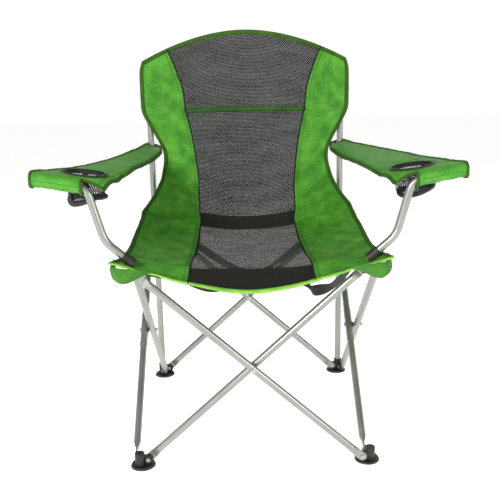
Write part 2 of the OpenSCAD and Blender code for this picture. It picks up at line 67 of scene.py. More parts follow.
shot = {"lens": 50.5, "place": (-24.2, -1626.2, 808.7), "turn": -0.91, "tilt": 76.57, "roll": -1.17}
cameraData = bpy.data.cameras.new("camera")
cameraData.lens = shot["lens"]
cameraData.sensor_width = 36
camera = bpy.data.objects.new("camera", cameraData)
bpy.context.collection.objects.link(camera)
camera.matrix_world = (
    Matrix.Translation(at(*shot["place"]))
    @ Matrix.Rotation(math.radians(shot["turn"]), 4, "Z")
    @ Matrix.Rotation(math.radians(shot["tilt"]), 4, "X")
    @ Matrix.Rotation(math.radians(shot["roll"]), 4, "Z")
)
bpy.context.scene.camera = camera


def hexColour(text):
    # sRGB hex to the linear values that shaders take
    parts = [int(text[i:i + 2], 16) / 255 for i in (1, 3, 5)]
    lin = [p / 12.92 if p <= 0.04045 else ((p + 0.055) / 1.055) ** 2.4 for p in parts]
    return (*lin, 1.0)


def addNode(tree, kind, settings=None, links=None):
    node = tree.nodes.new(kind)
    for name, value in (settings or {}).items():
        if isinstance(name, str) and hasattr(node, name):
            setattr(node, name, value)
        else:
            node.inputs[name].default_value = value
    for name, source in (links or {}).items():
        tree.links.new(source, node.inputs[name])
    return node


def newMaterial(name, settings):
    material = bpy.data.materials.new(name)
    material.use_nodes = True
    tree = material.node_tree
    surface = tree.nodes["Principled BSDF"]
    for key, value in settings.items():
        surface.inputs[key].default_value = value
    return material, tree, surface


lamps = {
    # name: place, aim, size, watts
    "keySoftbox": ((-1250, -2200, 1750), (0, 0, 500), 1.1, 70),
    "fillSoftbox": ((1900, -1700, 1200), (0, 0, 450), 1.2, 24),
    "backSoftbox": ((300, 1900, 2100), (0, 0, 500), 1.5, 12),
}
for name, (place, aim, size, watts) in lamps.items():
    light = bpy.data.lights.new(name, "AREA")
    light.shape = "DISK"
    light.size = size
    light.energy = watts
    lamp = bpy.data.objects.new(name, light)
    bpy.context.collection.objects.link(lamp)
    lamp.location = at(*place)
    lamp.rotation_euler = (at(*aim) - at(*place)).to_track_quat("-Z", "Y").to_euler()

world = bpy.data.worlds.new("studio")
world.use_nodes = True
world.node_tree.nodes["Background"].inputs["Color"].default_value = hexColour("#ffffff")
# white all round at eye level, dimmer overhead so that the lamps model the folds
sky = addNode(world.node_tree, "ShaderNodeTexCoord")
skyUp = addNode(world.node_tree, "ShaderNodeSeparateXYZ", links={0: sky.outputs["Generated"]})
skyFade = addNode(world.node_tree, "ShaderNodeMapRange", {
    "From Min": 0.2, "From Max": 0.6, "To Min": 1.02, "To Max": 0.1}, {"Value": skyUp.outputs["Z"]})
world.node_tree.links.new(skyFade.outputs["Result"], world.node_tree.nodes["Background"].inputs["Strength"])
bpy.context.scene.world = world
bpy.context.scene.view_settings.view_transform = "Standard"

# matt paper sweep, lit from beneath: pale, with a faint tooth
paper, tree, surface = newMaterial("mattPaper", {
    "Base Color": hexColour("#f4f4f2"), "Roughness": 0.85,
    "Emission Color": hexColour("#ffffff"), "Emission Strength": 0.72})
spot = addNode(tree, "ShaderNodeTexCoord")
tooth = addNode(tree, "ShaderNodeTexNoise", {"Scale": 900.0}, {"Vector": spot.outputs["Object"]})
lift = addNode(tree, "ShaderNodeBump", {"Strength": 0.05, "Distance": 0.0002},
               {"Height": tooth.outputs["Fac"]})
tree.links.new(lift.outputs["Normal"], surface.inputs["Normal"])
floorMesh = bpy.data.meshes.new("floor")
reach = 14
floorCorners = [(-reach, -reach, 0), (reach, -reach, 0), (reach, reach, 0), (-reach, reach, 0)]
floorMesh.from_pydata(floorCorners, [], [(0, 1, 2, 3)])
floor = bpy.data.objects.new("floor", floorMesh)
bpy.context.collection.objects.link(floor)
floor.data.materials.append(paper)
floor.location.z = -0.0005
print("camera, lights and floor")

# ---- materials ----


def clothCoordinates(tree, scale):
    # UV is laid out in metres along the cloth, so scale turns it into threads
    uv = addNode(tree, "ShaderNodeTexCoord")
    return addNode(tree, "ShaderNodeMapping", {"Scale": (scale, scale, scale)},
                   {"Vector": uv.outputs["UV"]})


def ramp(tree, source, low, high, start=0.35, end=0.65):
    node = addNode(tree, "ShaderNodeValToRGB", links={"Fac": source})
    node.color_ramp.elements[0].position = start
    node.color_ramp.elements[1].position = end
    node.color_ramp.elements[0].color = low
    node.color_ramp.elements[1].color = high
    return node


def wovenCloth(name, light, dark, threadMm, twillMm, sheen, relief):
    # woven polyester, dyed and coated on its back: a matt face with a slight sheen along the
    # threads, mottled where the coating has creased. Threads are drawn coarser than life to show
    material, tree, surface = newMaterial(name, {
        "IOR": 1.5, "Sheen Weight": sheen, "Sheen Roughness": 0.4, "Sheen Tint": hexColour("#dfffc8"),
        "Specular IOR Level": 0.18,
    })
    threads = clothCoordinates(tree, 1 / (threadMm * mm))
    weave = addNode(tree, "ShaderNodeTexWave", {
        "wave_type": "BANDS", "bands_direction": "X", "Scale": 0.5, "Distortion": 0.4,
        "Detail": 1.0, "Detail Scale": 2.0}, {"Vector": threads.outputs["Vector"]})
    weft = addNode(tree, "ShaderNodeTexWave", {
        "wave_type": "BANDS", "bands_direction": "Y", "Scale": 0.5, "Distortion": 0.4,
        "Detail": 1.0, "Detail Scale": 2.0}, {"Vector": threads.outputs["Vector"]})
    crossing = addNode(tree, "ShaderNodeMath", {"operation": "MULTIPLY"},
                       {0: weave.outputs["Fac"], 1: weft.outputs["Fac"]})
    twills = clothCoordinates(tree, 1 / (twillMm * mm))
    twill = addNode(tree, "ShaderNodeTexWave", {
        "wave_type": "BANDS", "bands_direction": "DIAGONAL", "Scale": 0.3, "Distortion": 1.2,
        "Detail": 2.0, "Detail Scale": 1.5}, {"Vector": twills.outputs["Vector"]})
    metres = clothCoordinates(tree, 1.0)
    mottle = addNode(tree, "ShaderNodeTexNoise", {"Scale": 24.0, "Detail": 5.0, "Roughness": 0.62},
                     {"Vector": metres.outputs["Vector"]})
    flecks = addNode(tree, "ShaderNodeTexNoise", {"Scale": 420.0, "Detail": 3.0, "Roughness": 0.7},
                     {"Vector": metres.outputs["Vector"]})
    speckled = addNode(tree, "ShaderNodeMath", {"operation": "MULTIPLY_ADD", 1: 0.42},
                       {0: flecks.outputs["Fac"], 2: mottle.outputs["Fac"]})
    withTwill = addNode(tree, "ShaderNodeMath", {"operation": "MULTIPLY_ADD", 1: 0.13},
                        {0: twill.outputs["Fac"], 2: speckled.outputs["Value"]})
    tone = ramp(tree, withTwill.outputs["Value"], dark, light, 0.56, 0.98)
    tree.links.new(tone.outputs["Color"], surface.inputs["Base Color"])
    rough = addNode(tree, "ShaderNodeMapRange", {"To Min": 0.5, "To Max": 0.72},
                    {"Value": mottle.outputs["Fac"]})
    tree.links.new(rough.outputs["Result"], surface.inputs["Roughness"])
    heights = addNode(tree, "ShaderNodeMath", {"operation": "MULTIPLY_ADD", 1: 0.5},
                      {0: twill.outputs["Fac"], 2: crossing.outputs["Value"]})
    bump = addNode(tree, "ShaderNodeBump", {"Strength": relief, "Distance": 0.0006},
                   {"Height": heights.outputs["Value"]})
    tree.links.new(bump.outputs["Normal"], surface.inputs["Normal"])
    return material


greenCloth = wovenCloth("wovenPolyesterGreen", hexColour("#5aa032"), hexColour("#266a12"), 1.4, 4.0,
                        0.05, 0.45)
armCloth = wovenCloth("wovenPolyesterArm", hexColour("#579d35"), hexColour("#327a1b"), 1.4, 4.0, 0.05, 0.4)
oliveTape = wovenCloth("wovenTapeOlive", hexColour("#3c6416"), hexColour("#22420a"), 1.0, 2.4, 0.02, 0.5)
pocketCloth = wovenCloth("wovenPolyesterPocket", hexColour("#437f2a"), hexColour("#285a17"), 1.4,
                         4.0, 0.04, 0.4)
brightTape = wovenCloth("wovenTapeBright", hexColour("#92cc4c"), hexColour("#62a834"), 1.0, 2.4, 0.06, 0.5)
darkBand = wovenCloth("wovenBandDarkGreen", hexColour("#2f5a22"), hexColour("#1a3a12"), 1.2, 3.0, 0.03, 0.4)


def openMesh():
    # warp-knitted polyester mesh, heat set: grey-black yarn round small open holes. The holes
    # are drawn 4.4 mm apart, coarser than life, so that they show
    material, tree, surface = newMaterial("knittedMeshBlack", {
        "IOR": 1.5, "Sheen Weight": 0.05, "Sheen Roughness": 0.5, "Specular IOR Level": 0.15})
    pitch = 4.4 * mm
    uv = addNode(tree, "ShaderNodeTexCoord")
    split = addNode(tree, "ShaderNodeSeparateXYZ", links={0: uv.outputs["UV"]})
    across = addNode(tree, "ShaderNodeMath", {"operation": "MULTIPLY", 1: 2 * math.pi / pitch},
                     {0: split.outputs["X"]})
    down = addNode(tree, "ShaderNodeMath", {"operation": "MULTIPLY", 1: 2 * math.pi / pitch * 0.62},
                   {0: split.outputs["Y"]})
    waveA = addNode(tree, "ShaderNodeMath", {"operation": "COSINE"}, {0: across.outputs[0]})
    waveB = addNode(tree, "ShaderNodeMath", {"operation": "COSINE"}, {0: down.outputs[0]})
    # a staggered lattice: holes where both waves agree
    holes = addNode(tree, "ShaderNodeMath", {"operation": "MULTIPLY"}, {0: waveA.outputs[0],
                                                                        1: waveB.outputs[0]})
    stretch = addNode(tree, "ShaderNodeMapping", {"Rotation": (0, 0, 0.7), "Scale": (9, 30, 1)},
                      {"Vector": uv.outputs["UV"]})
    cloud = addNode(tree, "ShaderNodeTexNoise", {"Scale": 1.0, "Detail": 2.0},
                    {"Vector": stretch.outputs["Vector"]})
    limit = addNode(tree, "ShaderNodeMapRange", {"From Min": 0.3, "From Max": 0.7, "To Min": 0.86,
                                                 "To Max": 0.74},
                    {"Value": cloud.outputs["Fac"]})
    shut = addNode(tree, "ShaderNodeMath", {"operation": "LESS_THAN"}, {0: holes.outputs[0],
                                                                        1: limit.outputs[0]})
    tree.links.new(shut.outputs[0], surface.inputs["Alpha"])
    yarn = ramp(tree, holes.outputs[0], hexColour("#171813"), hexColour("#272822"), 0.0, 0.7)
    tree.links.new(yarn.outputs["Color"], surface.inputs["Base Color"])
    surface.inputs["Roughness"].default_value = 0.62
    bump = addNode(tree, "ShaderNodeBump", {"Strength": 0.5, "Distance": 0.0008, "invert": True},
                   {"Height": holes.outputs[0]})
    tree.links.new(bump.outputs["Normal"], surface.inputs["Normal"])
    return material


meshCloth = openMesh()


def webbing(name, light, dark, ribMm):
    # polypropylene webbing, woven with a rib: black, with a dull shine painted onto each rib as lighter
    # colour along its crest
    material, tree, surface = newMaterial(name, {"IOR": 1.49, "Roughness": 0.5, "Specular IOR Level": 0.4})
    ribs = clothCoordinates(tree, 1 / (ribMm * mm))
    ribAndSheen = addNode(tree, "ShaderNodeTexWave", {"bands_direction": "Y", "Scale": 0.5,
                                              "Distortion": 0.6, "Detail": 2.0},
                  {"Vector": ribs.outputs["Vector"]})
    # painted sheen: the colour is lighter where each rib rises
    tone = ramp(tree, ribAndSheen.outputs["Fac"], dark, light, 0.2, 0.9)
    tree.links.new(tone.outputs["Color"], surface.inputs["Base Color"])
    bump = addNode(tree, "ShaderNodeBump", {"Strength": 0.6, "Distance": 0.0005},
                   {"Height": ribAndSheen.outputs["Fac"]})
    tree.links.new(bump.outputs["Normal"], surface.inputs["Normal"])
    return material


blackWebbing = webbing("wovenWebbingBlack", hexColour("#1d1d1c"), hexColour("#0b0b0b"), 2.0)
blackTape = webbing("wovenTapeBlack", hexColour("#232422"), hexColour("#101110"), 1.2)
blackPiping = webbing("cordPipingBlack", hexColour("#1c211a"), hexColour("#0a0d09"), 1.5)


def thread(name, colour):
    # twisted polyester sewing thread: slightly glossy
    material, tree, surface = newMaterial(name, {"Base Color": hexColour(colour), "Roughness": 0.45,
                                                 "IOR": 1.5})
    spot = addNode(tree, "ShaderNodeTexCoord")
    twist = addNode(tree, "ShaderNodeTexWave", {"bands_direction": "DIAGONAL", "Scale": 900.0},
                    {"Vector": spot.outputs["Object"]})
    bump = addNode(tree, "ShaderNodeBump", {"Strength": 0.4, "Distance": 0.0002},
                   {"Height": twist.outputs["Fac"]})
    tree.links.new(bump.outputs["Normal"], surface.inputs["Normal"])
    return material


greenThread = thread("sewingThreadGreen", "#1f5a14")


def powderCoat():
    # silver-grey powder coat on welded steel tube: a fine orange peel, scuffed a little
    material, tree, surface = newMaterial("powderCoatSilver", {"Metallic": 0.75, "Specular IOR Level": 0.5,
                                                              "Coat Weight": 0.15,
                                                              "Coat Roughness": 0.25})
    spot = addNode(tree, "ShaderNodeTexCoord")
    peel = addNode(tree, "ShaderNodeTexNoise", {"Scale": 700.0, "Detail": 2.0},
                   {"Vector": spot.outputs["Object"]})
    wear = addNode(tree, "ShaderNodeTexNoise", {"Scale": 14.0, "Detail": 2.0, "Roughness": 0.5},
                   {"Vector": spot.outputs["Object"]})
    tone = ramp(tree, wear.outputs["Fac"], hexColour("#8f908b"), hexColour("#9c9d98"), 0.3, 0.8)
    tree.links.new(tone.outputs["Color"], surface.inputs["Base Color"])
    rough = addNode(tree, "ShaderNodeMapRange", {"To Min": 0.24, "To Max": 0.42},
                    {"Value": wear.outputs["Fac"]})
    tree.links.new(rough.outputs["Result"], surface.inputs["Roughness"])
    bump = addNode(tree, "ShaderNodeBump", {"Strength": 0.08, "Distance": 0.0003},
                   {"Height": peel.outputs["Fac"]})
    tree.links.new(bump.outputs["Normal"], surface.inputs["Normal"])
    return material


def mouldedPlastic():
    # injection-moulded polypropylene, black-brown: a fine spark-eroded grain, greyer where rubbed
    material, tree, surface = newMaterial("mouldedPolypropylene", {"IOR": 1.49, "Specular IOR Level": 0.4})
    spot = addNode(tree, "ShaderNodeTexCoord")
    grain = addNode(tree, "ShaderNodeTexVoronoi", {"Scale": 1100.0}, {"Vector": spot.outputs["Object"]})
    rub = addNode(tree, "ShaderNodeTexNoise", {"Scale": 60.0, "Detail": 4.0},
                  {"Vector": spot.outputs["Object"]})
    tone = ramp(tree, rub.outputs["Fac"], hexColour("#1c1814"), hexColour("#37302a"), 0.4, 0.75)
    tree.links.new(tone.outputs["Color"], surface.inputs["Base Color"])
    rough = addNode(tree, "ShaderNodeMapRange", {"To Min": 0.38, "To Max": 0.6},
                    {"Value": rub.outputs["Fac"]})
    tree.links.new(rough.outputs["Result"], surface.inputs["Roughness"])
    bump = addNode(tree, "ShaderNodeBump", {"Strength": 0.25, "Distance": 0.0002},
                   {"Height": grain.outputs["Distance"]})
    tree.links.new(bump.outputs["Normal"], surface.inputs["Normal"])
    return material


def zincSteel():
    # zinc-plated steel rivet, head formed cold: bright with fine turning marks
    material, tree, surface = newMaterial("zincPlatedSteel", {"Metallic": 1.0})
    spot = addNode(tree, "ShaderNodeTexCoord")
    marks = addNode(tree, "ShaderNodeTexNoise", {"Scale": 500.0, "Detail": 3.0},
                    {"Vector": spot.outputs["Object"]})
    tone = ramp(tree, marks.outputs["Fac"], hexColour("#8f8f8c"), hexColour("#c4c4c0"))
    tree.links.new(tone.outputs["Color"], surface.inputs["Base Color"])
    rough = addNode(tree, "ShaderNodeMapRange", {"To Min": 0.22, "To Max": 0.4},
                    {"Value": marks.outputs["Fac"]})
    tree.links.new(rough.outputs["Result"], surface.inputs["Roughness"])
    bump = addNode(tree, "ShaderNodeBump", {"Strength": 0.15, "Distance": 0.0002},
                   {"Height": marks.outputs["Fac"]})
    tree.links.new(bump.outputs["Normal"], surface.inputs["Normal"])
    return material


tubeCoat = powderCoat()
footPlastic = mouldedPlastic()
rivetSteel = zincSteel()

for name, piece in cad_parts.items():
    if "rivet" in name:
        finish = rivetSteel
    elif "foot" in name or "bracket" in name or "washer" in name:
        finish = footPlastic
    else:
        finish = tubeCoat
    piece.data.materials.clear()
    piece.data.materials.append(finish)
print("materials")

# ---- building cloth ----


def finishMesh(name, points, faces, uvs, material, body, thick=0.0, offset=-1.0):
    mesh = bpy.data.meshes.new(name)
    mesh.from_pydata([at(*p) for p in points], [], faces)
    layer = mesh.uv_layers.new(name="cloth")
    for loop in mesh.loops:
        layer.data[loop.index].uv = uvs[loop.vertex_index]
    mesh.materials.append(material)
    for face in mesh.polygons:
        face.use_smooth = True
    obj = bpy.data.objects.new(name, mesh)
    bpy.context.collection.objects.link(obj)
    if thick:
        shell = obj.modifiers.new("thickness", "SOLIDIFY")
        shell.thickness = thick * mm
        shell.offset = offset
        shell.use_even_offset = False
    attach(obj, body)
    return obj


def clothGrid(name, rows, material, body, thick, keep=None, loop=False, tidyHoles=(), offset=-1.0):
    # rows of points in millimetres; the UV is the length along the cloth in metres
    count = len(rows[0])
    points = [p for row in rows for p in row]
    midCol = count // 2
    downs = [0.0]
    for i in range(1, len(rows)):
        downs.append(downs[-1] + (Vector(rows[i][midCol]) - Vector(rows[i - 1][midCol])).length)
    uvs = []
    for i, row in enumerate(rows):
        runs = [0.0]
        for j in range(1, count):
            runs.append(runs[-1] + (Vector(row[j]) - Vector(row[j - 1])).length)
        uvs += [((r - runs[midCol]) * mm, -downs[i] * mm) for r in runs]
    faces = []
    cols = count if loop else count - 1
    for i in range(len(rows) - 1):
        for j in range(cols):
            if keep and not keep(i, j):
                continue
            k = (j + 1) % count
            faces.append((i * count + j, (i + 1) * count + j, (i + 1) * count + k, i * count + k))
    for centre, radius, cell in tidyHoles:
        faces, points = roundHole(points, faces, centre, radius, cell)
    return finishMesh(name, *dropLoose(points, faces, uvs), material, body, thick, offset)


def dropLoose(points, faces, uvs):
    used = sorted({k for f in faces for k in f})
    index = {k: n for n, k in enumerate(used)}
    return [points[k] for k in used], [tuple(index[k] for k in f) for f in faces], [uvs[k] for k in used]


def roundHole(points, faces, centre, radius, cell):
    # drops the faces inside a circle seen from above and pulls the edge left behind onto it
    points = [Vector(p) for p in points]
    dist = [math.hypot(p.x - centre[0], p.y - centre[1]) for p in points]
    kept = [f for f in faces if sum(dist[k] for k in f) / len(f) > radius]
    edges = {}
    for f in kept:
        for n in range(len(f)):
            edge = frozenset((f[n], f[(n + 1) % len(f)]))
            edges[edge] = edges.get(edge, 0) + 1
    rim = {k for e, n in edges.items() if n == 1 for k in e if dist[k] < radius + 1.5 * cell}
    for k in rim:
        share = radius / dist[k]
        points[k].x = centre[0] + (points[k].x - centre[0]) * share
        points[k].y = centre[1] + (points[k].y - centre[1]) * share
    return kept, points


def sweep(name, path, section, material, body, closed=False, taper=None):
    # path is a list of (point, side, up) in millimetres, section a closed outline in (side, up)
    points, uvs, faces = [], [], []
    count = len(section)
    along = 0.0
    around = [0.0]
    for n in range(1, count):
        around.append(around[-1] + math.dist(section[n], section[n - 1]))
    for i, (p, side, up) in enumerate(path):
        if i:
            along += (Vector(p) - Vector(path[i - 1][0])).length
        size = taper(i / (len(path) - 1)) if taper else 1.0
        for n, (a, b) in enumerate(section):
            points.append(Vector(p) + side * a * size + up * b * size)
            uvs.append((around[n] * mm, along * mm))
    rings = len(path)
    for i in range(rings if closed else rings - 1):
        for n in range(count):
            m = (n + 1) % count
            j = (i + 1) % rings
            faces.append((i * count + n, i * count + m, j * count + m, j * count + n))
    if not closed:
        faces.append(tuple(range(count - 1, -1, -1)))
        faces.append(tuple((rings - 1) * count + n for n in range(count)))
    return finishMesh(name, points, faces, uvs, material, body)


def roundSection(radius, count=8):
    return [(radius * math.cos(2 * math.pi * n / count), radius * math.sin(2 * math.pi * n / count))
            for n in range(count)]


def framePath(spots, upOf, closed=False):
    # turns a run of points into (point, side, up) with side square to the run and to up
    path = []
    last = len(spots) - 1
    for i, p in enumerate(spots):
        before = spots[(i - 1) % len(spots)] if closed else spots[max(i - 1, 0)]
        after = spots[(i + 1) % len(spots)] if closed else spots[min(i + 1, last)]
        along = (Vector(after) - Vector(before)).normalized()
        up = upOf(i)
        side = along.cross(up).normalized()
        path.append((Vector(p), side, side.cross(along).normalized()))
    return path


def stitches(name, runs, material, body, long=3.4, gap=1.6, radius=0.55):
    # rows of stitches: each one a small lens of thread lying on the cloth
    points, faces, uvs = [], [], []
    for path in runs:
        travelled = 0.0
        nextStart = 0.0
        for i in range(len(path) - 1):
            a, b = Vector(path[i][0]), Vector(path[i + 1][0])
            length = (b - a).length
            if length < 1e-6:
                continue
            while nextStart < travelled + length:
                share = (nextStart - travelled) / length
                middle = a.lerp(b, share)
                along = (b - a).normalized()
                up = path[i][2]
                side = along.cross(up).normalized()
                base = len(points)
                for d, r in ((-0.5, 0.35), (-0.25, 1.0), (0.25, 1.0), (0.5, 0.35)):
                    for n in range(5):
                        turn = 2 * math.pi * n / 5
                        points.append(middle + along * long * d
                                      + side * radius * r * math.cos(turn)
                                      + up * radius * r * math.sin(turn))
                        uvs.append((0.001 * n, 0.001 * d))
                for k in range(3):
                    for n in range(5):
                        m = (n + 1) % 5
                        faces.append((base + 5 * k + n, base + 5 * k + m,
                                      base + 5 * (k + 1) + m, base + 5 * (k + 1) + n))
                faces.append(tuple(base + n for n in range(4, -1, -1)))
                faces.append(tuple(base + 15 + n for n in range(5)))
                nextStart += long + gap
            travelled += length
    return finishMesh(name, points, faces, uvs, material, body)


# ---- the sling's shape ----

# down the back and along the seat: centre y, centre z, edge x, edge y, edge z, mesh edge x,
# and how the sides curve up from the middle; a fold lies at the two rows named below
sling = [
    (252, 935, 261, 236, 861, 199, 1.9), (252, 898, 267, 235, 839, 188, 1.9),
    (253, 850, 268, 235, 803, 174, 1.9), (254, 800, 268, 235, 768, 162, 1.9),
    (254, 745, 266, 235, 735, 157, 1.9), (253, 690, 250, 236, 700, 147, 1.9),
    (250, 650, 231, 237, 666, 140, 1.9), (246, 611, 217, 237, 634, 135, 1.9),
    (242, 574, 215, 233, 604, 131, 1.9), (235, 532, 219, 212, 576, 127, 2.0),
    (226, 496, 227, 178, 551, 126, 2.1), (213, 454, 238, 135, 529, 125, 2.2),
    (198, 426, 250, 82, 511, 125, 2.3), (150, 420, 258, 30, 491, 125, 2.3),
    (85, 416, 261, -20, 479, 125, 2.3), (15, 415, 262, -68, 470, 126, 2.2),
    (-60, 417, 262, -120, 463, 126, 2.2), (-135, 422, 263, -172, 460, 128, 2.3),
    (-204, 428, 268, -224, 460, 129, 2.4), (-256, 388, 283, -276, 462, 131, 1.1),
]
creaseRow = 12      # back and seat meet here
hemRow = 18         # the front hem folds down from here
lastRow = len(sling) - 1
bandTop = creaseRow - 1.1
hemRound = 50       # the front edge hangs round in its middle, not to a point


def through(p, t):
    # the smooth curve between p[1] and p[2], with p[0] and p[3] on either side
    return 0.5 * (2 * p[1] + (p[2] - p[0]) * t + (2 * p[0] - 5 * p[1] + 4 * p[2] - p[3]) * t * t
                  + (3 * p[1] - p[0] - 3 * p[2] + p[3]) * t ** 3)


def tableColumn(table, t, which):
    last = len(table) - 1
    i = min(int(t), last - 1)
    return through([table[max(0, min(last, n))][which] for n in (i - 1, i, i + 1, i + 2)], t - i)


def column(v, which):
    # smooth between rows, with a fold left sharp at the crease and the hem
    i = min(int(v), lastRow - 1)
    t = v - i
    p = [sling[max(0, min(lastRow, n))][which] for n in (i - 1, i, i + 1, i + 2)]
    if i in (0, creaseRow, hemRow):
        p[0] = 2 * p[1] - p[2]
    if i + 1 in (creaseRow, hemRow, lastRow):
        p[3] = 2 * p[2] - p[1]
    return through(p, t)


def plainSling(v, x):
    edgeX = column(v, 2)
    soft = hemRound * min(1.0, max(0.0, v - hemRow)) + 0.01
    away = (math.hypot(x, soft) - soft) / (math.hypot(edgeX, soft) - soft)
    curve = away ** column(v, 6)
    cy, cz = column(v, 0), column(v, 1)
    return Vector((x, cy + (column(v, 3) - cy) * curve, cz + (column(v, 4) - cz) * curve))


def slingOut(v, x):
    a = plainSling(max(v - 0.15, 0), x)
    b = plainSling(min(v + 0.15, lastRow), x)
    across = plainSling(v, x + 4) - plainSling(v, x - 4)
    return (b - a).cross(across).normalized()


# fold marks left by packing: points (x, row), height in mm, half width in mm; minus is a hollow
folds = [
    ([(-219, 8.3), (-164, 8.9), (-129, 9.8)], -15, 40),
    ([(-258, 12.3), (-190, 11.3), (-131, 10.7)], -10, 34),
    ([(-262, 13.9), (-196, 12.4), (-130, 11.5)], 6, 26),
    ([(-222, 9.6), (-170, 10.2), (-131, 10.3)], 4, 24),
    ([(148, 9.9), (190, 9.1), (214, 8.5)], -15, 40),
    ([(131, 10.7), (200, 10.7), (246, 11.8)], -9, 32),
    ([(131, 11.6), (198, 12.3), (259, 13.5)], 6, 28),
    ([(-262, 4.6), (-214, 5.4), (-150, 6.6)], -3, 22),
    ([(-206, 4.3), (-182, 5.6), (-168, 7.4)], 2.6, 16),
    ([(262, 4.8), (206, 5.6), (150, 6.9)], -3.2, 22),
    ([(216, 4.4), (188, 6.0), (160, 7.6)], 2.6, 16),
    ([(-246, 1.2), (-220, 2.6), (-200, 3.9)], 1.8, 14),
    ([(248, 1.0), (228, 2.4), (236, 3.9)], 1.8, 14),
    ([(-252, 16.8), (-196, 17.4), (-140, 17.8)], -2.4, 20),
    ([(252, 16.8), (196, 17.3), (140, 17.8)], -2.4, 20),
]
rowLength = [0.0]
for row in range(1, lastRow + 1):
    step = plainSling(row, 160) - plainSling(row - 1, 160)
    rowLength.append(rowLength[-1] + step.length)


def downSling(v):
    i = min(int(v), lastRow - 1)
    return rowLength[i] + (rowLength[i + 1] - rowLength[i]) * (v - i)


flatFolds = [([Vector((x, downSling(v))) for x, v in line], high, wide) for line, high, wide in folds]


def segmentDistance(p, a, b):
    ab = b - a
    t = max(0.0, min(1.0, (p - a).dot(ab) / ab.length_squared))
    return (p - a - ab * t).length


def crumple(v, x):
    # how far the cloth stands off its plain shape, in mm
    p = Vector((x, downSling(v)))
    total = 0.0
    for line, high, wide in flatFolds:
        d = min(segmentDistance(p, line[n], line[n + 1]) for n in range(len(line) - 1))
        if d < wide:
            total += high * (1 - d / wide) ** 1.6
    side = min(1.0, max(0.0, (abs(x) - 118) / 50))      # the mesh lies smoother than the panels
    slow = noise.noise(Vector((p.x / 58, p.y / 74, 3.1)))
    slant = noise.noise(Vector(((p.x + p.y) / 60, (p.x - p.y) / 21, 8.3)))
    fine = noise.noise(Vector(((p.x - 0.6 * p.y) / 26, (p.x + p.y) / 11, 1.7)))
    total += slow * (1.2 + 1.8 * side) + slant * (0.5 + 1.2 * side) + fine * (0.15 + 0.5 * side)
    return total * (1.0 if v > 0.3 else v / 0.3)


def slingAt(v, x, lift=0.0):
    return plainSling(v, x) + slingOut(v, x) * (crumple(v, x) + lift)


def spread(a, b, n):
    return [a + (b - a) * i / n for i in range(n + 1)]


def meshEdge(v):
    return column(v, 5)


def outerEdge(v):
    return column(v, 2)


fabricThick = 1.1


def gather(obj):
    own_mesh(obj)
    return obj


def cutOf(rows, keep=None, away=0.0):
    # what a piece was cut to: the longest row and column of its smooth pattern, and its area.
    # Folds, sag and creases come after cutting, so they are never in the rows given here
    count = len(rows[0])
    across = max(sum((row[j + 1] - row[j]).length for j in range(count - 1)) for row in rows)
    along = max(sum((rows[i + 1][j] - rows[i][j]).length for i in range(len(rows) - 1))
                for j in range(count))
    area = 0.0
    for i in range(len(rows) - 1):
        for j in range(count - 1):
            if keep and not keep(i, j):
                continue
            area += (rows[i + 1][j + 1] - rows[i][j]).cross(rows[i + 1][j] - rows[i][j + 1]).length / 2
    return {"flat": (across * mm, along * mm), "area": (area - away) * mm * mm}


def plainRows(vs, xsAt):
    return [[plainSling(v, x) for x in xsAt(v)] for v in vs]


# ---- mesh back and seat ----

def meshPiece(name, a, b, n, body, node):
    rows = [[slingAt(v, s * (meshEdge(v) - 0.5)) for s in spread(-1, 1, 56)] for v in spread(a, b, n)]
    obj = clothGrid(name, rows, meshCloth, body, 0.0)
    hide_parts(node)
    cut = cutOf(plainRows(spread(a, b, n), lambda v: [s * (meshEdge(v) - 0.5) for s in spread(-1, 1, 56)]))
    return gather(obj)


backMesh = meshPiece("backMesh", 0, creaseRow, 110, "rear_left_leg", "back_mesh")
seatMesh = meshPiece("seatMesh", creaseRow, lastRow, 70, "seat", "seat_mesh")
print("mesh")

# ---- green side panels ----


def panel(name, a, b, n, side, body, node):
    rows = []
    for v in spread(a, b, n):
        inner, outer = meshEdge(v) - 1.5, outerEdge(v)
        rows.append([slingAt(v, side * x, 0.5) for x in spread(inner, outer, 26)])
    if side < 0:
        rows = [row[::-1] for row in rows]
    obj = clothGrid(name, rows, greenCloth, body, fabricThick)
    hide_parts(node)
    cut = cutOf(plainRows(spread(a, b, n), lambda v: spread(meshEdge(v) - 1.5, outerEdge(v), 26)))
    return gather(obj)


for side, word in ((-1, "left"), (1, "right")):
    panel(word + "BackPanel", 0, creaseRow, 120, side, "rear_left_leg", word + "_back_panel")
    panel(word + "SeatPanel", creaseRow, lastRow, 90, side, "seat", word + "_seat_panel")
print("side panels")

# ---- edge tapes, piping and bands ----

foldedTape = [(-8.5, 1.5), (-4, 2.0), (1.2, 1.7), (2.2, 0.4), (1.2, -1.9), (-4, -2.4), (-8.5, -2.0)]


def edgePath(a, b, n, side):
    path = []
    spots = [slingAt(v, side * outerEdge(v)) for v in spread(a, b, n)]
    for i, v in enumerate(spread(a, b, n)):
        inward = slingAt(v, side * (outerEdge(v) - 6))
        out = (spots[i] - inward).normalized()
        path.append((spots[i], out, slingOut(v, side * outerEdge(v))))
    return path


def backAndSeat(make):
    for side, word in ((-1, "left"), (1, "right")):
        make(word + "Back", 0, creaseRow, 110, side, "rear_left_leg")
        make(word + "Seat", creaseRow, lastRow, 80, side, "seat")


def sideTape(name, a, b, n, side, body):
    path = edgePath(a, b, n, side)
    obj = sweep(name + "Binding", path, foldedTape if side < 0 else foldedTape[::-1], oliveTape, body)
    return gather(obj)


def meshPiping(name, a, b, n, side, body):
    spots = [slingAt(v, side * (meshEdge(v) - 1.2), 1.6) for v in spread(a, b, n)]
    path = framePath(spots, lambda i: slingOut(spread(a, b, n)[i], side * meshEdge(spread(a, b, n)[i])))
    obj = sweep(name + "Piping", path, roundSection(1.7), blackPiping, body)
    return gather(obj)


